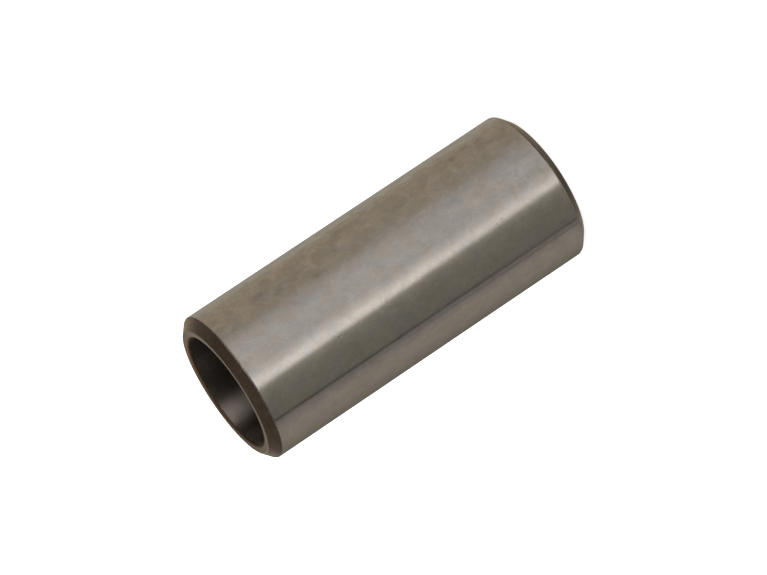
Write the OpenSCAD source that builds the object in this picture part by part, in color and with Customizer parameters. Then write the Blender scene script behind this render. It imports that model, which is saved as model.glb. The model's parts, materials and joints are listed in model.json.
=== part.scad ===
// Gudgeon pin: a hollow steel pin that joins a piston to the small end of its connecting rod.
// It stands on one end, with its axis on Z and the origin at the centre of that end.

/* [Tube] */
// Diameter of the ground outside, which runs in the piston bosses and the small end
outer_d = 24; // [16:0.5:40]
// Length from one end face to the other
pin_length = 57; // [40:0.5:110]
// Thickness of the tube between the bore and the ground outside
wall = 2.8; // [2.4:0.1:6]

/* [Ends] */
// Length of the chamfer along the axis, at each end
chamfer_length = 1.3; // [0.6:0.1:3]
// Depth of the chamfer into the wall, which leaves the flat ring of the end face
chamfer_depth = 1.5; // [0.6:0.1:1.9]
// Radius that blends the chamfer into the ground outside, so that the pin slides into its bosses
chamfer_blend_r = 0.5; // [0.1:0.05:0.8]
// Radius that breaks the edge between the chamfer and the end face
face_edge_r = 0.4; // [0.1:0.05:0.6]
// Radius that breaks the edge at the mouth of the bore
mouth_r = 0.3; // [0.1:0.05:0.5]

/* [Hidden] */
$fn = 128;

// Steps in each rounded edge of the section
arc_steps = 4;

outer_r = outer_d / 2;
bore_r = outer_r - wall;
face_r = outer_r - chamfer_depth;
steel_grey = [0.58, 0.56, 0.53];

// The half-section's corners, anticlockwise as [radius from the axis, height, edge radius]
section_corners = [
    [bore_r, 0, mouth_r],
    [face_r, 0, face_edge_r],
    [outer_r, chamfer_length, chamfer_blend_r],
    [outer_r, pin_length - chamfer_length, chamfer_blend_r],
    [face_r, pin_length, face_edge_r],
    [bore_r, pin_length, mouth_r],
];

function place(corner) = [corner[0], corner[1]];
function unit(v) = v / norm(v);

// Points of the tangent arc, from the edge before the corner to the edge after it
function rounded_corner(before, corner, after) =
    let (
        back = unit(place(before) - place(corner)),
        ahead = unit(place(after) - place(corner)),
        half_angle = acos(back * ahead) / 2,
        centre = place(corner) + unit(back + ahead) * corner[2] / sin(half_angle),
        first = place(corner) + back * corner[2] / tan(half_angle) - centre,
        first_angle = atan2(first[1], first[0]),
        turn = 180 - 2 * half_angle
    )
    [
        for (step = [0 : arc_steps])
            let (angle = first_angle + turn * step / arc_steps)
            centre + corner[2] * [cos(angle), sin(angle)]
    ];

// Outline of a convex section with every corner rounded to its own radius
function rounded_outline(corners) =
    let (n = len(corners))
    [
        for (i = [0 : n - 1])
            each rounded_corner(corners[(i + n - 1) % n], corners[i], corners[(i + 1) % n])
    ];

module gudgeon_pin() {
    color(steel_grey)
        rotate_extrude()
            polygon(rounded_outline(section_corners));
}

gudgeon_pin();
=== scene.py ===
"""Looks of a gudgeon pin: a hollow ground steel pin that stands on its end on a pale studio floor."""
import json
import math

import bmesh
import bpy
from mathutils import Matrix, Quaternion, Vector


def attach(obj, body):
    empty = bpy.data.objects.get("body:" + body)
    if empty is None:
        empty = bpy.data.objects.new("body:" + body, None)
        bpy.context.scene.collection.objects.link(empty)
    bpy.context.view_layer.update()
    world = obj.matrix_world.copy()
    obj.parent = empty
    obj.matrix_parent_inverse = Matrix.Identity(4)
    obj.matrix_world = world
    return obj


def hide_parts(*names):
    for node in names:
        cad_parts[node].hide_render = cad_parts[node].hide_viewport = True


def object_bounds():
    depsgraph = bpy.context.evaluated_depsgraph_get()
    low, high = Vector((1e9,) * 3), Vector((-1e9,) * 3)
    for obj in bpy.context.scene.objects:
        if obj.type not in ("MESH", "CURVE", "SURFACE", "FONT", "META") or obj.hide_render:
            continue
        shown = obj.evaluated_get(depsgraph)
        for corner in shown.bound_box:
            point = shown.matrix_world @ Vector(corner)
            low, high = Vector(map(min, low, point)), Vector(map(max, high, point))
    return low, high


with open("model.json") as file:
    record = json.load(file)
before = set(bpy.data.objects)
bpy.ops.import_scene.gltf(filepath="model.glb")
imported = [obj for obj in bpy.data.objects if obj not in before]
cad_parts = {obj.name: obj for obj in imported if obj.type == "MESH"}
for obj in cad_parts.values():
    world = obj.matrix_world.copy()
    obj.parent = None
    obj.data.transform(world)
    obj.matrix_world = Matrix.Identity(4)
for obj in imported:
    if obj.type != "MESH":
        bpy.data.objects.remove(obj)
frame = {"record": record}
cad_low, cad_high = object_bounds()

# Sizes of the pin, from the frame, in metres unless the name says otherwise
MM = 0.001
NODE = "gudgeon_pin"
MOUNTS = {mount["name"]: mount for mount in frame["record"]["mounts"]}
# The solid's outside has flat facets, so its least reach keeps this finer mesh inside its box
OUTER_R = min(-cad_low.x, -cad_low.y, cad_high.x, cad_high.y)
BORE_R = MOUNTS["bore"]["dims"]["r_mm"] * MM
LENGTH = cad_high.z
LENGTH_MM = LENGTH / MM

# Sizes of the ends, as the solid has them
CHAMFER_LENGTH = 1.3 * MM
CHAMFER_DEPTH = 1.5 * MM
CHAMFER_BLEND_R = 0.5 * MM
FACE_EDGE_R = 0.4 * MM
MOUTH_R = 0.3 * MM
FACE_R = OUTER_R - CHAMFER_DEPTH

# The end rings are slightly dished here, where the solid has flat ones
DISH_ANGLE = math.radians(4.5)
FACE_DISH = (FACE_R - BORE_R) * math.tan(DISH_ANGLE)

# Fineness of the mesh
STEPS_ROUND = 360
ARC_STEPS = 9
EDGE_GUARD = 0.05 * MM
FINISH_STEPS = {"ground": 48, "chamfer": 10, "ring": 6, "bore": 36}
FINISHES = ["ground", "edge", "chamfer", "ring", "mouth", "bore"]

# Finish of each step of a rounded edge, from the bore outwards, with ARC_STEPS steps in each list
MOUTH_ARC = ["mouth"] * ARC_STEPS
FACE_ARC = ["ring"] * 5 + ["chamfer"] * 4
BLEND_ARC = ["chamfer"] * 3 + ["edge"] * 4 + ["ground"] * 2

# The picture and its camera, which looks along +Y
PICTURE_W = 767
FOCAL_PX = 4509
SENSOR_MM = 36
CAMERA_PLACE = Vector((0, -629.44, 204.0)) * MM
CAMERA_AIM = Vector((-0.1, 0, 28.75)) * MM
CAMERA_ROLL = math.radians(123.78)
CLIP_START = 0.01
CLIP_END = 20.0


# Mesh of the pin

def rounded_corner(before, corner, after, radius):
    """Points of the tangent arc that rounds a convex corner of the section."""
    back = (before - corner).normalized()
    ahead = (after - corner).normalized()
    half = back.angle(ahead) / 2
    centre = corner + (back + ahead).normalized() * radius / math.sin(half)
    spoke = corner + back * radius / math.tan(half) - centre
    turn = math.pi - 2 * half
    points = []
    for step in range(ARC_STEPS + 1):
        angle = turn * step / ARC_STEPS
        cosine, sine = math.cos(angle), math.sin(angle)
        turned = Vector((spoke.x * cosine - spoke.y * sine, spoke.x * sine + spoke.y * cosine))
        points.append(centre + turned)
    return points


def section():
    """The closed half-section, anticlockwise: (radius, height) points, each with the finish after it."""
    # Each corner has its place, its edge radius, the finish of each step of its arc and the finish after it
    corners = [
        (Vector((BORE_R, FACE_DISH)), MOUTH_R, MOUTH_ARC, "ring"),
        (Vector((FACE_R, 0)), FACE_EDGE_R, FACE_ARC, "chamfer"),
        (Vector((OUTER_R, CHAMFER_LENGTH)), CHAMFER_BLEND_R, BLEND_ARC, "ground"),
        (Vector((OUTER_R, LENGTH - CHAMFER_LENGTH)), CHAMFER_BLEND_R, BLEND_ARC[::-1], "chamfer"),
        (Vector((FACE_R, LENGTH)), FACE_EDGE_R, FACE_ARC[::-1], "ring"),
        (Vector((BORE_R, LENGTH - FACE_DISH)), MOUTH_R, MOUTH_ARC, "bore"),
    ]
    count = len(corners)
    arcs = []
    for i, (place, radius, _, _) in enumerate(corners):
        before = corners[i - 1][0]
        after = corners[(i + 1) % count][0]
        arcs.append(rounded_corner(before, place, after, radius))
    points = []
    for i, (_, _, arc_finishes, finish) in enumerate(corners):
        points += zip(arcs[i][:-1], arc_finishes)
        start = arcs[i][-1]
        end = arcs[(i + 1) % count][0]
        guard = (end - start).normalized() * EDGE_GUARD
        points.append((start, finish))
        steps = FINISH_STEPS[finish]
        for step in range(steps + 1):
            points.append(((start + guard).lerp(end - guard, step / steps), finish))
    return points


def pin_mesh():
    """The section turned once round the axis, in quads, with a finish for each band and an unrolled map."""
    points = section()
    rows = len(points)
    reach = [0.0]
    for i in range(rows):
        reach.append(reach[-1] + (points[(i + 1) % rows][0] - points[i][0]).length)
    built = bmesh.new()
    unrolled = built.loops.layers.uv.new("OFBake")
    rings = []
    for point, _ in points:
        # Rounding must not put a point past the ends of the solid
        height = min(max(point.y, 0), LENGTH)
        ring = []
        for step in range(STEPS_ROUND):
            angle = 2 * math.pi * step / STEPS_ROUND
            ring.append(built.verts.new((point.x * math.cos(angle), point.x * math.sin(angle), height)))
        rings.append(ring)
    for i, (_, finish) in enumerate(points):
        lower, upper = rings[i], rings[(i + 1) % rows]
        for step in range(STEPS_ROUND):
            ahead = (step + 1) % STEPS_ROUND
            face = built.faces.new((lower[step], lower[ahead], upper[ahead], upper[step]))
            face.smooth = True
            face.material_index = FINISHES.index(finish)
            across = [step, step + 1, step + 1, step]
            up = [i, i, i + 1, i + 1]
            for loop, u, v in zip(face.loops, across, up):
                loop[unrolled].uv = (u / STEPS_ROUND, reach[v] / reach[-1])
    mesh = bpy.data.meshes.new("gudgeon_pin_surface")
    built.to_mesh(mesh)
    built.free()
    return mesh


# Node trees

class Graph:
    """Adds nodes to one tree. An input is a value or another node's output."""

    def __init__(self, tree):
        self.tree = tree
        tree.nodes.clear()

    def node(self, kind, inputs=None, **settings):
        """A new node, with its settings made and its inputs fed."""
        made = self.tree.nodes.new(kind)
        for name, value in settings.items():
            setattr(made, name, value)
        for name, value in (inputs or {}).items():
            self.feed(made.inputs[name], value)
        return made

    def feed(self, socket, value):
        """Sets an input to a value, or links it to another node's output."""
        if isinstance(value, bpy.types.NodeSocket):
            self.tree.links.new(value, socket)
        else:
            socket.default_value = value

    def math(self, operation, first, second=0.0, third=0.0):
        """The result of an operation on numbers."""
        made = self.node("ShaderNodeMath", {0: first, 1: second, 2: third}, operation=operation)
        return made.outputs[0]

    def vector(self, operation, first, second):
        """The result of an operation on vectors, which is a number for a distance."""
        made = self.node("ShaderNodeVectorMath", {0: first, 1: second}, operation=operation)
        return made.outputs["Value" if operation == "DISTANCE" else "Vector"]

    def times(self, first, *others):
        """The product of two or more values."""
        product = first
        for other in others:
            product = self.math("MULTIPLY", product, other)
        return product

    def spread(self, value, low, high, to_low=0.0, to_high=1.0):
        """The value eased from its range low to high into another range, and held beyond it."""
        inputs = {"Value": value, "From Min": low, "From Max": high, "To Min": to_low, "To Max": to_high}
        return self.node("ShaderNodeMapRange", inputs, interpolation_type="SMOOTHSTEP").outputs["Result"]

    def fade(self, value, low, high):
        """1 up to low, then eased to 0 at high."""
        return self.spread(value, low, high, 1.0, 0.0)

    def window(self, value, rise, fall):
        """1 between two ranges of the value: eased up from 0 over the rise and down again over the fall."""
        return self.times(self.spread(value, *rise), self.fade(value, *fall))

    def mix(self, share, first, second, blend="MIX"):
        """The first colour with the second one blended in by a share."""
        made = self.node("ShaderNodeMix", data_type="RGBA", blend_type=blend)
        for socket, value in ((0, share), (6, first), (7, second)):
            self.feed(made.inputs[socket], value)
        return made.outputs[2]

    def tinted(self, colour, tint, share=1.0):
        """The colour multiplied by a tint, in full or by a share."""
        return self.mix(share, colour, tint, "MULTIPLY")

    def lift(self, value):
        """A number as a grey colour."""
        return self.node("ShaderNodeCombineColor", {0: value, 1: value, 2: value}).outputs[0]

    def noise(self, place, scale, detail=3.0, distortion=0.0, fineness=0.5):
        """Soft irregular values round 0.5, where the fineness is the strength of each finer layer."""
        inputs = {"Vector": place, "Scale": scale, "Detail": detail}
        inputs.update({"Distortion": distortion, "Roughness": fineness})
        return self.node("ShaderNodeTexNoise", inputs).outputs["Fac"]

    def swing(self, noise, depth, middle=1.0):
        """The noise as a factor that swings round the middle, by half the depth at most."""
        return self.math("MULTIPLY_ADD", self.math("SUBTRACT", noise, 0.5), depth, middle)

    def shifted(self, place, distance):
        """The place moved along all three axes, so that a noise there differs."""
        return self.vector("ADD", place, (distance, distance, distance))

    def warped(self, place, scale, reach):
        """The place moved irregularly by up to about half the reach."""
        noise = self.node("ShaderNodeTexNoise", {"Vector": place, "Scale": scale, "Detail": 2.0})
        offset = self.vector("SUBTRACT", noise.outputs["Color"], (0.5, 0.5, 0.5))
        return self.vector("ADD", place, self.vector("MULTIPLY", offset, (reach, reach, reach)))

    def place_mm(self, stretch=(1, 1, 1)):
        """The point on the pin in millimetres, with each axis scaled."""
        place = self.node("ShaderNodeTexCoord").outputs["Object"]
        return self.vector("MULTIPLY", place, tuple(scale / MM for scale in stretch))

    def part(self, place, axis):
        """One coordinate of the place: X, Y or Z."""
        return self.node("ShaderNodeSeparateXYZ", {"Vector": place}).outputs[axis]

    def bearing(self, place):
        """Angle of the point round the axis, in degrees, from the camera's side towards +X."""
        backward = self.times(self.part(place, "Y"), -1.0)
        return self.math("DEGREES", self.math("ARCTAN2", self.part(place, "X"), backward))


def grey(level):
    """An opaque grey of one brightness."""
    return (level, level, level, 1)


def new_material(name):
    """A new material, and a graph for its empty node tree."""
    made = bpy.data.materials.new(name)
    made.use_nodes = True
    return made, Graph(made.node_tree)


def metal(graph, colour, roughness, height, extra=None):
    """A metal surface with a colour, a roughness and a relief whose height is in millimetres."""
    bump = graph.node("ShaderNodeBump", {"Strength": 1.0, "Distance": MM, "Height": height})
    normal = bump.outputs["Normal"]
    inputs = {"Base Color": colour, "Roughness": roughness, "Metallic": 1.0, "Normal": normal}
    shader = graph.node("ShaderNodeBsdfPrincipled", {**inputs, **(extra or {})})
    graph.node("ShaderNodeOutputMaterial", {"Surface": shader.outputs["BSDF"]})


# Colours of the steel

STEEL = (0.53, 0.495, 0.455, 1)
FILM_TINT = (0.97, 0.885, 0.765, 1)
WARM_TINT = (1.027, 1.0, 0.963, 1)
COOL_TINT = (0.973, 1.0, 1.037, 1)
STAIN_TINT = (0.86, 0.86, 0.88, 1)
WISP_TINT = (1.09, 1.07, 1.05, 1)
EDGE_STEEL = (0.42, 0.39, 0.36, 1)
EDGE_BROWN = (0.16, 0.141, 0.122, 1)
SCALE_BROWN = (0.125, 0.092, 0.066, 1)
SCALE_GREY = (0.15, 0.116, 0.088, 1)
SCRATCH_GREY = (0.3, 0.25, 0.2, 1)
DING_BROWN = (0.06, 0.045, 0.032, 1)
RING_STEEL = (0.385, 0.318, 0.256, 1)
RING_BROWN = (0.3, 0.24, 0.18, 1)
MOUTH_BROWN = (0.115, 0.079, 0.052, 1)
MOUTH_TAN = (0.28, 0.176, 0.103, 1)
BORE_STEEL = (0.335, 0.3, 0.276, 1)
BORE_BROWN = (0.265, 0.229, 0.199, 1)

# Where the brown film starts and ends, in degrees of bearing, and how much of it is left elsewhere
FILM_STARTS = (18, 62)
FILM_ENDS = (100, 150)
FILM_LEAST = 0.15

# Where the worn edge is brown and the mouth is tan, in millimetres towards +X, and how far patches shift it
EDGE_BROWN_STARTS = (2.2, 5.6)
EDGE_BROWN_ENDS = (9.0, 11.5)
EDGE_BROWN_LEAST = 0.3
MOUTH_TAN_STARTS = (0.5, 6.5)
PATCH_REACH = 4.0

# Painted shade in the bore: where it gets lighter near each mouth and darker deeper in, in millimetres from
# its end, and its shades before and after
MOUTH_DEPTHS = (0.8, 4.2)
MOUTH_PAINTED_SHADES = (1.25, 0.65)
DEEP_DEPTHS = (4.5, 8.0)
DEEP_PAINTED_SHADES = (1.0, 0.4)

# The range that most of a noise lies in, and narrower ones that make patches with clearer borders
NOISE_RANGE = (0.2, 0.8)
TINT_RANGE = (0.3, 0.7)
SMEAR_RANGE = (0.3, 0.75)
SCALE_RANGE = (0.35, 0.7)
RING_RANGE = (0.5, 0.75)
WISP_RANGE = (0.45, 0.6)

# How strong the patterns of colour are: factors, depths of a swing and the width of a wisp in the noise
FILM_FACTORS = (0.4, 1.25)
MOTTLE_DEPTH = 0.36
MOTTLE_FILM_DEPTH = 0.6
GRAIN_DEPTH = 0.26
SCALE_GRAIN_DEPTH = 0.5
WISP_WIDTHS = (0.004, 0.028)

# Roughness of each finish, at the low and at the high end of its pattern
GROUND_ROUGHNESS = (0.1, 0.14)
EDGE_ROUGHNESS = (0.42, 0.48)
CHAMFER_ROUGHNESS = (0.36, 0.3)
RING_ROUGHNESS = (0.18, 0.24)
MOUTH_ROUGHNESS = (0.45, 0.55)
BORE_ROUGHNESS = (0.38, 0.44)

# How much each mark takes the place of the colour under it
PIT_SHARE = 0.42
SCRATCH_SHARE = 0.85
DING_SHARE = 0.8

# Marks on the outside: bearing in degrees, height and radius in millimetres
PITS = [(-8.0, 12.7, 0.14), (-6.1, 11.7, 0.12), (-12.0, 41.3, 0.16), (-73.9, 37.8, 0.2)]
STAINS = [
    (47, 47.3, 1.0), (40, 54.4, 0.8), (40, 44.4, 0.7), (43, 41.3, 0.8),
    (33, 38.7, 0.8), (55, 11.5, 0.6), (58, 8.5, 0.6), (57, 6.6, 0.6),
]
DINGS = [(-54.8, 56.67, 0.24)]
SCRATCH_START = (43, 55.75)
SCRATCH_REACH = (2.3, 0.85)
SCRATCH_R = 0.11
SCRATCH_STEPS = 4

# The share of a mark's radius within which it is at its full strength
MARK_CORE = 0.3

# How much a pattern's place is scaled along X, Y and Z: less along Z makes the pattern longer up the pin
LONG_SHAPE = (1, 1, 0.6)
MOTTLE_SHAPE = (1, 1, 0.85)
WAVE_SHAPE = (1, 1, 0.6)
SMEAR_SHAPE = (1, 1, 0.3)
BORE_PATCH_SHAPE = (1, 1, 0.5)
GRINDING_SHAPE = (0.35, 0.35, 9)
TURNING_SHAPE = (0.2, 0.2, 14)
BORING_SHAPE = (0.3, 0.3, 7)

# Heights of the relief, in millimetres
WAVE_HEIGHT = 0.014
GRINDING_HEIGHT = 0.0006
TURNING_HEIGHT = 0.0012
GRAIN_HEIGHT = 0.002
MOUTH_GRAIN_HEIGHT = 0.004
PIT_DEPTH = 0.01
DING_DEPTH = 0.05


# Finishes of the steel

def outside_r(height):
    """Radius of the outside at a height, both in millimetres, with the chamfers counted."""
    from_end = min(height, LENGTH_MM - height)
    share = max(0, 1 - from_end * MM / CHAMFER_LENGTH)
    return (OUTER_R - CHAMFER_DEPTH * share) / MM


def spots(graph, place, marks, shape=(1, 1, 1)):
    """A mask that is 1 in the middle of each mark on the outside and 0 away from them all."""
    mask = 0.0
    for bearing, height, radius in marks:
        angle = math.radians(bearing)
        centre = Vector((math.sin(angle), -math.cos(angle), 0)) * outside_r(height)
        centre.z = height * shape[2]
        reach = graph.vector("DISTANCE", place, tuple(centre))
        mask = graph.math("MAXIMUM", mask, graph.fade(reach, MARK_CORE * radius, radius))
    return mask


def scratch_marks():
    """A scratch as a short row of small round marks."""
    marks = []
    for step in range(SCRATCH_STEPS + 1):
        share = step / SCRATCH_STEPS
        bearing, height = (start + reach * share for start, reach in zip(SCRATCH_START, SCRATCH_REACH))
        marks.append((bearing, height, SCRATCH_R))
    return marks


def drift(graph, place, scale):
    """A patchy value that grows by 1 for each millimetre towards +X."""
    patches = graph.noise(place, scale, detail=4.0, distortion=0.4)
    return graph.math("MULTIPLY_ADD", patches, PATCH_REACH, graph.part(place, "X"))


def film_by_side(graph, place):
    """The share of the brown film at each bearing, most of it on the side towards +X."""
    side = graph.bearing(place)
    film = graph.times(graph.spread(side, *FILM_STARTS), graph.spread(side, *FILM_ENDS, 1.0, FILM_LEAST))
    return graph.math("MULTIPLY_ADD", film, 1 - FILM_LEAST, FILM_LEAST)


def ground_colour(graph, place, pits):
    """Steel with the film, warm and cool clouds, light and dark mottling, stains, wisps and pits."""
    long_place = graph.place_mm(LONG_SHAPE)
    film_side = film_by_side(graph, place)
    clouds = graph.noise(long_place, scale=0.55, detail=6.0, distortion=0.7)
    film = graph.times(film_side, graph.spread(clouds, *NOISE_RANGE, *FILM_FACTORS))
    colour = graph.tinted(STEEL, FILM_TINT, film)
    tint_place = graph.shifted(long_place, distance=40)
    tint = graph.noise(tint_place, scale=0.5, detail=6.0, distortion=0.4, fineness=0.6)
    colour = graph.tinted(colour, graph.mix(graph.spread(tint, *TINT_RANGE), COOL_TINT, WARM_TINT))

    mottle_place = graph.shifted(graph.place_mm(MOTTLE_SHAPE), distance=80)
    mottle = graph.noise(mottle_place, scale=0.55, detail=8.0, distortion=0.8, fineness=0.6)
    mottle_depth = graph.math("MULTIPLY_ADD", film_side, MOTTLE_FILM_DEPTH, MOTTLE_DEPTH)
    grain = graph.noise(place, scale=4.5, detail=2.0)
    shade = graph.swing(grain, GRAIN_DEPTH, middle=graph.swing(mottle, mottle_depth))
    colour = graph.tinted(colour, graph.lift(shade))

    stains = spots(graph, graph.warped(long_place, scale=1.2, reach=1.1), STAINS, LONG_SHAPE)
    colour = graph.tinted(colour, STAIN_TINT, stains)
    folds = graph.noise(long_place, scale=0.32, detail=3.0, distortion=1.6)
    from_fold = graph.math("ABSOLUTE", graph.math("SUBTRACT", folds, 0.5))
    wisp_patches = graph.spread(graph.noise(long_place, scale=0.2, detail=1.0), *WISP_RANGE)
    wisps = graph.times(graph.fade(from_fold, *WISP_WIDTHS), wisp_patches)
    colour = graph.tinted(colour, WISP_TINT, wisps)
    return graph.mix(graph.times(pits, PIT_SHARE), colour, SCALE_BROWN)


def ground_steel():
    """The ground outside: bright, with long waves, fine grinding lines round the pin and a few pits."""
    made, graph = new_material("ground_steel")
    place = graph.place_mm()
    pits = spots(graph, place, PITS)
    colour = ground_colour(graph, place, pits)
    waves = graph.noise(graph.place_mm(WAVE_SHAPE), scale=0.3, detail=1.0)
    lines = graph.noise(graph.place_mm(GRINDING_SHAPE), scale=1.0, detail=2.0)
    height = graph.math("MULTIPLY_ADD", waves, WAVE_HEIGHT, graph.times(lines, GRINDING_HEIGHT))
    height = graph.math("MULTIPLY_ADD", pits, -PIT_DEPTH, height)
    smear = graph.noise(graph.place_mm(SMEAR_SHAPE), scale=0.6, distortion=0.4)
    metal(graph, colour, graph.spread(smear, *SMEAR_RANGE, *GROUND_ROUGHNESS), height)
    return made


def edge_steel():
    """The worn edge between each chamfer and the ground outside: half bright, and brown in part."""
    made, graph = new_material("edge_steel")
    place = graph.place_mm()
    along = drift(graph, place, scale=1.1)
    brown = graph.spread(along, *EDGE_BROWN_STARTS)
    left = graph.spread(along, *EDGE_BROWN_ENDS, to_low=1.0, to_high=EDGE_BROWN_LEAST)
    colour = graph.mix(graph.times(brown, left), EDGE_STEEL, EDGE_BROWN)
    grain = graph.noise(place, scale=5.0)
    roughness = graph.spread(grain, *NOISE_RANGE, *EDGE_ROUGHNESS)
    metal(graph, colour, roughness, graph.times(grain, GRAIN_HEIGHT))
    return made


def chamfer_steel():
    """The end chamfers: dull brown from heat treatment, with faint turning lines, a scratch and a ding."""
    made, graph = new_material("chamfer_steel")
    place = graph.place_mm()
    patches = graph.spread(graph.noise(place, scale=0.9, detail=5.0, distortion=0.5), *SCALE_RANGE)
    colour = graph.mix(patches, SCALE_BROWN, SCALE_GREY)
    grain = graph.noise(graph.shifted(place, distance=20), scale=3.0)
    colour = graph.tinted(colour, graph.lift(graph.swing(grain, SCALE_GRAIN_DEPTH)))
    scratch = spots(graph, place, scratch_marks())
    colour = graph.mix(graph.times(scratch, SCRATCH_SHARE), colour, SCRATCH_GREY)
    dings = spots(graph, place, DINGS)
    colour = graph.mix(graph.times(dings, DING_SHARE), colour, DING_BROWN)
    lines = graph.noise(graph.place_mm(TURNING_SHAPE), scale=1.0, detail=2.0)
    height = graph.math("MULTIPLY_ADD", dings, -DING_DEPTH, graph.times(lines, TURNING_HEIGHT))
    metal(graph, colour, graph.spread(patches, 0, 1, *CHAMFER_ROUGHNESS), height)
    return made


def ring_steel():
    """The end rings: faced bright, with brown left in patches."""
    made, graph = new_material("ring_steel")
    place = graph.place_mm()
    patches = graph.spread(graph.noise(place, scale=0.5, detail=4.0, distortion=0.4), *RING_RANGE)
    colour = graph.mix(patches, RING_STEEL, RING_BROWN)
    grain = graph.noise(place, scale=5.0)
    roughness = graph.spread(grain, *NOISE_RANGE, *RING_ROUGHNESS)
    metal(graph, colour, roughness, graph.times(grain, GRAIN_HEIGHT))
    return made


def mouth_steel():
    """The broken edge at each mouth of the bore: dull brown, and lighter towards +X."""
    made, graph = new_material("mouth_steel")
    place = graph.place_mm()
    tan_share = graph.spread(drift(graph, place, scale=1.2), *MOUTH_TAN_STARTS)
    colour = graph.mix(tan_share, MOUTH_BROWN, MOUTH_TAN)
    grain = graph.noise(place, scale=6.0)
    roughness = graph.spread(grain, *NOISE_RANGE, *MOUTH_ROUGHNESS)
    metal(graph, colour, roughness, graph.times(grain, MOUTH_GRAIN_HEIGHT))
    return made


def bore_steel():
    """The bore: dark and dull, with painted shade that is lighter near its mouths and darker deeper in, and
    the fine marks of boring round it.
    """
    made, graph = new_material("bore_steel")
    patches = graph.noise(graph.place_mm(BORE_PATCH_SHAPE), scale=0.7, detail=4.0, distortion=0.3)
    patches = graph.spread(patches, *SCALE_RANGE)
    colour = graph.mix(patches, BORE_STEEL, BORE_BROWN)
    from_middle = graph.math("SUBTRACT", graph.part(graph.place_mm(), "Z"), LENGTH_MM / 2)
    from_end = graph.math("SUBTRACT", LENGTH_MM / 2, graph.math("ABSOLUTE", from_middle))
    # Painted shade: the bore's colour is lighter near each mouth and darker deeper in
    mouth_painted_shade = graph.spread(from_end, *MOUTH_DEPTHS, *MOUTH_PAINTED_SHADES)
    deep_painted_shade = graph.spread(from_end, *DEEP_DEPTHS, *DEEP_PAINTED_SHADES)
    colour = graph.tinted(colour, graph.lift(graph.times(mouth_painted_shade, deep_painted_shade)))
    lines = graph.noise(graph.place_mm(BORING_SHAPE), scale=1.0, detail=2.0)
    round_axis = graph.node("ShaderNodeTangent", direction_type="RADIAL", axis="Z")
    extra = {"Anisotropic": 0.93, "Anisotropic Rotation": 0.25, "Tangent": round_axis.outputs["Tangent"]}
    roughness = graph.spread(patches, 0, 1, *BORE_ROUGHNESS)
    metal(graph, colour, roughness, graph.times(lines, TURNING_HEIGHT), extra)
    return made


def make_pin():
    """The pin with its six finishes, in the order of FINISHES, in place of the solid."""
    pin = bpy.data.objects.new("gudgeon_pin_steel", pin_mesh())
    bpy.context.scene.collection.objects.link(pin)
    for make_finish in (ground_steel, edge_steel, chamfer_steel, ring_steel, mouth_steel, bore_steel):
        pin.data.materials.append(make_finish())
    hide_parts(NODE)
    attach(pin, "root")


# Studio

# The floor, the light that is not mirrored and the lamp: metres, degrees and watts
FLOOR_HALF = 2.0
FLOOR_ALBEDO = 0.8
FLOOR_GLOW = 0.8
FILL_LEVEL = 0.85
LAMP_BEARING = 32
LAMP_ELEVATION = 60
LAMP_DISTANCE = 0.8
LAMP_SIZE = 0.5
LAMP_POWER = 4.0

# Tints of the surround
AMBER = (1.0, 0.89, 0.72)
WARM = (1.0, 0.93, 0.83)
OLIVE = (1.0, 0.975, 0.87)
NEUTRAL = (1.0, 0.99, 0.985)
ROSY = (1.0, 0.93, 0.92)

# What the pin's side reflects: bearing in degrees from the camera's side towards +X, brightness and tint
SURROUND = [
    (-180, 0.3, WARM),
    (-165, 0.15, AMBER),
    (-125, 0.316, WARM),
    (-100, 0.365, WARM),
    (-83, 0.29, ROSY),
    (-75, 0.196, OLIVE),
    (-45, 0.228, OLIVE),
    (-30, 0.275, OLIVE),
    (-22, 0.365, OLIVE),
    (-16, 1.09, NEUTRAL),
    (-9.5, 1.07, NEUTRAL),
    (-2, 0.785, NEUTRAL),
    (8, 0.6, NEUTRAL),
    (35, 0.6, NEUTRAL),
    (51, 0.51, NEUTRAL),
    (68, 0.405, WARM),
    (120, 0.405, WARM),
    (140, 0.455, OLIVE),
    (180, 0.3, WARM),
]
# The same high above the horizon, which the bore and the chamfers reflect, with a lamp in front
SURROUND_HIGH = [
    (-180, 0.36, WARM),
    (-150, 0.42, WARM),
    (-95, 0.2, WARM),
    (-40, 0.15, WARM),
    (-25, 0.02, WARM),
    (9, 0.02, WARM),
    (22, 1.9, ROSY),
    (33, 2.7, ROSY),
    (52, 2.7, ROSY),
    (68, 0.24, WARM),
    (95, 0.16, WARM),
    (145, 0.44, WARM),
    (180, 0.36, WARM),
]

# Other parts of the surround, where a pair is for the sides towards -X and +X
FRONT_ABOVE = (0.02, 0.019, 0.017, 1)
BESIDE_GLOWS = ((0.52, 0.46, 0.4, 1), (0.76, 0.63, 0.44, 1))
BEHIND_STRIP = (0.95, 0.93, 0.9, 1)
BEHIND_BELOWS = ((0.58, 0.53, 0.45, 1), (0.64, 0.52, 0.36, 1))
BEHIND_ABOVE = (0.12, 0.112, 0.1, 1)
BEHIND_FADE = (1.3, 0.68)
BEHIND_TINT = (1.08, 0.88, 0.68, 1)
OVERHEADS = ((0.34, 0.323, 0.3, 1), (0.22, 0.209, 0.194, 1))

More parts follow.
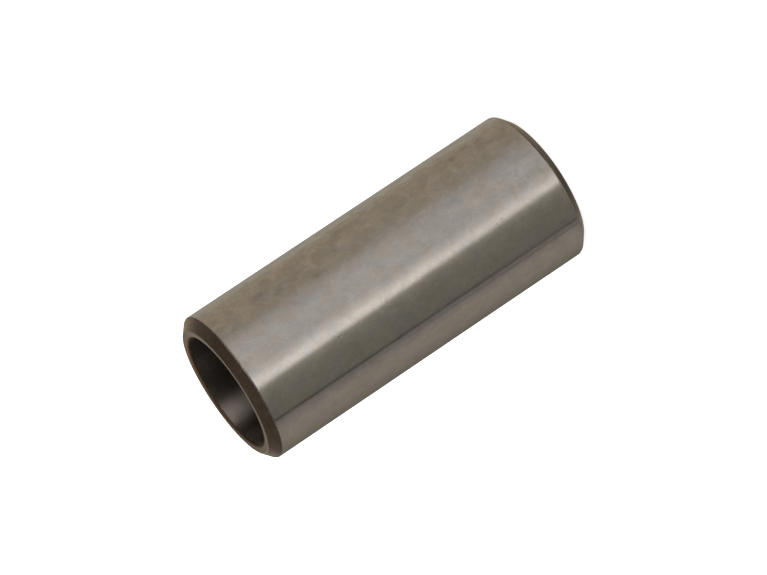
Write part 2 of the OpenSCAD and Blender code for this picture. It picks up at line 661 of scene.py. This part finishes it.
# Where those parts ease in and out: bearings in degrees, counted both ways from the camera's side except
# for the gap and the sides, levels as the height of a direction's tip, and places across as its X
FRONT_BEARINGS = (128, 150)
FRONT_LEVELS = (0.0, 0.14)
GAP_BEARINGS = ((7, 19), (56, 70))
BESIDE_BEARINGS = ((146, 160), (170, 179))
BESIDE_LEVELS = (-0.2, -0.1)
BESIDE_SIDES = (-1, 1)
STRIP_BEARINGS = (169, 176)
STRIP_LEVELS = ((-0.42, -0.36), (-0.16, -0.06))
BELOW_BEARINGS = (120, 155)
BELOW_LEVELS = ((-0.9, -0.7), (-0.5, -0.36))
BELOW_ACROSS = (-0.15, 0.15)
ABOVE_BEARINGS = (150, 166)
ABOVE_LEVELS = (0.22, 0.34)
OVERHEAD_LEVELS = (0.7, 0.85)
OVERHEAD_ACROSS = (-0.1, 0.45)
HIGH_LEVELS = (0.3, 0.42)
BEHIND_BEARINGS = (160, 172)
BEHIND_LEVELS = (0.02, 0.1)
BEHIND_ACROSS = (-0.06, 0.06)
BEHIND_TINT_LEVELS = (0.2, 0.4)

# The levels that the far and the near end of the pin's side reflect
FAR_LEVEL = -0.31
NEAR_LEVEL = -0.225

# The slant of the highlight, in degrees for a level of 1, where it applies and the level without a shift
HIGHLIGHT_SLANT = 58.0
HIGHLIGHT_LEVEL = -0.265
SLANT_BEARINGS = ((-65, -35), (60, 100))
SLANT_EASING = (-14, -4, 1.0, 0.5)
SLANT_LEVELS = (-0.6, -0.4)

# The lit side gets brighter from the far end to the near one
LIT_BEARINGS = ((-26, -14), (45, 70))
LIT_FADE = (0.93, 1.06)

# Thin dark lines: bearing and half width in degrees, depth at the far end and at the near one
DARK_LINES = [(-76, 3.4, 0.42, 0.66), (-84, 2.6, 0.5, 0.02)]
LINE_SLANT = -16.0
LINE_LEVEL = -0.3


def bands(graph, bearing, stops):
    """A colour by bearing, from stops of bearing, brightness and tint."""
    turn = graph.math("MULTIPLY_ADD", bearing, 1 / 360, 0.5)
    ramp = graph.node("ShaderNodeValToRGB", {"Fac": turn})
    elements = ramp.color_ramp.elements
    for i, (stop, brightness, tint) in enumerate(stops):
        share = stop / 360 + 0.5
        element = elements[i] if i < 2 else elements.new(share)
        element.position = share
        element.color = (*(brightness * part for part in tint), 1)
    return ramp.outputs["Color"]


def slanted(graph, bearing, level, slant, start):
    """The bearing shifted in proportion to how far the level lies above its start."""
    return graph.math("MULTIPLY_ADD", graph.math("SUBTRACT", level, start), slant, bearing)


def thin_line(graph, bearing, centre, half_width, depth):
    """A factor that dips to 1 - depth on one bearing."""
    reach = graph.math("ABSOLUTE", graph.math("SUBTRACT", bearing, centre))
    dip = graph.fade(reach, 0, half_width)
    return graph.math("SUBTRACT", 1.0, graph.times(dip, depth))


def side_bands(graph, bearing, level):
    """What the pin's side reflects: bands with a slanted highlight, thin dark lines and a lit side."""
    slant = graph.times(
        graph.window(bearing, *SLANT_BEARINGS),
        graph.spread(bearing, *SLANT_EASING),
        graph.spread(level, *SLANT_LEVELS),
        HIGHLIGHT_SLANT,
    )
    held_level = graph.math("MINIMUM", level, NEAR_LEVEL)
    colour = bands(graph, slanted(graph, bearing, held_level, slant, HIGHLIGHT_LEVEL), SURROUND)
    lined = slanted(graph, bearing, level, LINE_SLANT, LINE_LEVEL)
    for centre, half_width, far_depth, near_depth in DARK_LINES:
        depth = graph.spread(level, FAR_LEVEL, NEAR_LEVEL, far_depth, near_depth)
        colour = graph.tinted(colour, graph.lift(thin_line(graph, lined, centre, half_width, depth)))
    lit_fade = graph.lift(graph.spread(level, FAR_LEVEL, NEAR_LEVEL, *LIT_FADE))
    return graph.tinted(colour, lit_fade, graph.window(bearing, *LIT_BEARINGS))


def surround_low(graph, bearing, level, across):
    """Up to just above the horizon: the bands, a dark front above them, and glows and a strip behind."""
    aside = graph.math("ABSOLUTE", bearing)
    colour = side_bands(graph, bearing, level)
    no_gap = graph.math("SUBTRACT", 1.0, graph.window(bearing, *GAP_BEARINGS))
    front = graph.times(graph.fade(aside, *FRONT_BEARINGS), no_gap, graph.spread(level, *FRONT_LEVELS))
    colour = graph.mix(front, colour, FRONT_ABOVE)
    beside = graph.times(graph.window(aside, *BESIDE_BEARINGS), graph.spread(level, *BESIDE_LEVELS))
    colour = graph.mix(beside, colour, graph.mix(graph.spread(bearing, *BESIDE_SIDES), *BESIDE_GLOWS))
    strip = graph.times(graph.window(level, *STRIP_LEVELS), graph.spread(aside, *STRIP_BEARINGS))
    colour = graph.mix(strip, colour, BEHIND_STRIP)
    below = graph.times(graph.spread(aside, *BELOW_BEARINGS), graph.window(level, *BELOW_LEVELS))
    return graph.mix(below, colour, graph.mix(graph.spread(across, *BELOW_ACROSS), *BEHIND_BELOWS))


def surround_high(graph, bearing, level, across):
    """High above the horizon: bands by bearing, a dark patch behind and grey overhead, darker to +X."""
    aside = graph.math("ABSOLUTE", bearing)
    colour = bands(graph, bearing, SURROUND_HIGH)
    behind = graph.times(graph.spread(aside, *ABOVE_BEARINGS), graph.spread(level, *ABOVE_LEVELS))
    colour = graph.mix(behind, colour, BEHIND_ABOVE)
    overhead = graph.mix(graph.spread(across, *OVERHEAD_ACROSS), *OVERHEADS)
    return graph.mix(graph.spread(level, *OVERHEAD_LEVELS), colour, overhead)


def surround_colour(graph):
    """What shiny surfaces see around them, by direction."""
    direction = graph.node("ShaderNodeTexCoord").outputs["Generated"]
    across = graph.part(direction, "X")
    level = graph.part(direction, "Z")
    bearing = graph.bearing(direction)
    low_down = surround_low(graph, bearing, level, across)
    high_up = surround_high(graph, bearing, level, across)
    colour = graph.mix(graph.spread(level, *HIGH_LEVELS), low_down, high_up)
    aside = graph.math("ABSOLUTE", bearing)
    behind = graph.times(graph.spread(aside, *BEHIND_BEARINGS), graph.spread(level, *BEHIND_LEVELS))
    fade = graph.lift(graph.spread(across, *BEHIND_ACROSS, *BEHIND_FADE))
    colour = graph.tinted(colour, fade, behind)
    return graph.tinted(colour, BEHIND_TINT, graph.times(behind, graph.spread(level, *BEHIND_TINT_LEVELS)))


def make_world():
    """White to the camera, the surround to shiny surfaces and an even grey to all else."""
    world = bpy.data.worlds.new("studio")
    world.use_nodes = True
    world.cycles.sampling_method = "NONE"
    bpy.context.scene.world = world
    graph = Graph(world.node_tree)
    path = graph.node("ShaderNodeLightPath")
    lit = graph.mix(path.outputs["Is Glossy Ray"], grey(FILL_LEVEL), surround_colour(graph))
    seen = graph.mix(path.outputs["Is Camera Ray"], lit, grey(1.0))
    background = graph.node("ShaderNodeBackground", {"Color": seen, "Strength": 1.0})
    graph.node("ShaderNodeOutputWorld", {"Surface": background.outputs["Background"]})


def make_floor():
    """A pale floor that glows for the camera and that shiny surfaces do not mirror."""
    mesh = bpy.data.meshes.new("floor")
    corners = [(-1, -1, 0), (1, -1, 0), (1, 1, 0), (-1, 1, 0)]
    mesh.from_pydata([Vector(corner) * FLOOR_HALF for corner in corners], [], [(0, 1, 2, 3)])
    floor = bpy.data.objects.new("floor", mesh)
    bpy.context.scene.collection.objects.link(floor)
    floor.visible_glossy = False
    made, graph = new_material("pale_floor")
    path = graph.node("ShaderNodeLightPath")
    matt = graph.node("ShaderNodeBsdfDiffuse", {"Color": grey(FLOOR_ALBEDO)})
    glow_level = graph.times(path.outputs["Is Camera Ray"], FLOOR_GLOW)
    glow = graph.node("ShaderNodeEmission", {"Color": grey(1.0), "Strength": glow_level})
    both = graph.node("ShaderNodeAddShader", {0: matt.outputs["BSDF"], 1: glow.outputs["Emission"]})
    graph.node("ShaderNodeOutputMaterial", {"Surface": both.outputs["Shader"]})
    mesh.materials.append(made)


def make_lamp():
    """A square soft lamp that faces the middle of the pin and lights only the floor."""
    lamp = bpy.data.lights.new("key", "AREA")
    lamp.size = LAMP_SIZE
    lamp.energy = LAMP_POWER
    holder = bpy.data.objects.new("key", lamp)
    bearing = math.radians(LAMP_BEARING)
    elevation = math.radians(LAMP_ELEVATION)
    level_out = Vector((math.sin(bearing), -math.cos(bearing), 0)) * math.cos(elevation)
    out = level_out + Vector((0, 0, math.sin(elevation)))
    holder.location = Vector((0, 0, LENGTH / 2)) + out * LAMP_DISTANCE
    holder.rotation_mode = "QUATERNION"
    holder.rotation_quaternion = (-out).to_track_quat("-Z", "Y")
    bpy.context.scene.collection.objects.link(holder)
    holder.visible_glossy = False


def make_camera():
    """The view of the photo: a long lens, rolled so that the standing pin lies aslant."""
    lens = bpy.data.cameras.new("photo_camera")
    lens.sensor_width = SENSOR_MM
    lens.lens = SENSOR_MM * FOCAL_PX / PICTURE_W
    lens.clip_start = CLIP_START
    lens.clip_end = CLIP_END
    camera = bpy.data.objects.new("photo_camera", lens)
    camera.location = CAMERA_PLACE
    level = (CAMERA_AIM - CAMERA_PLACE).to_track_quat("-Z", "Y")
    camera.rotation_mode = "QUATERNION"
    camera.rotation_quaternion = level @ Quaternion((0, 0, 1), -CAMERA_ROLL)
    bpy.context.scene.collection.objects.link(camera)
    bpy.context.scene.camera = camera


make_camera()
make_pin()
make_floor()
make_world()
make_lamp()
bpy.context.scene.view_settings.view_transform = "Standard"
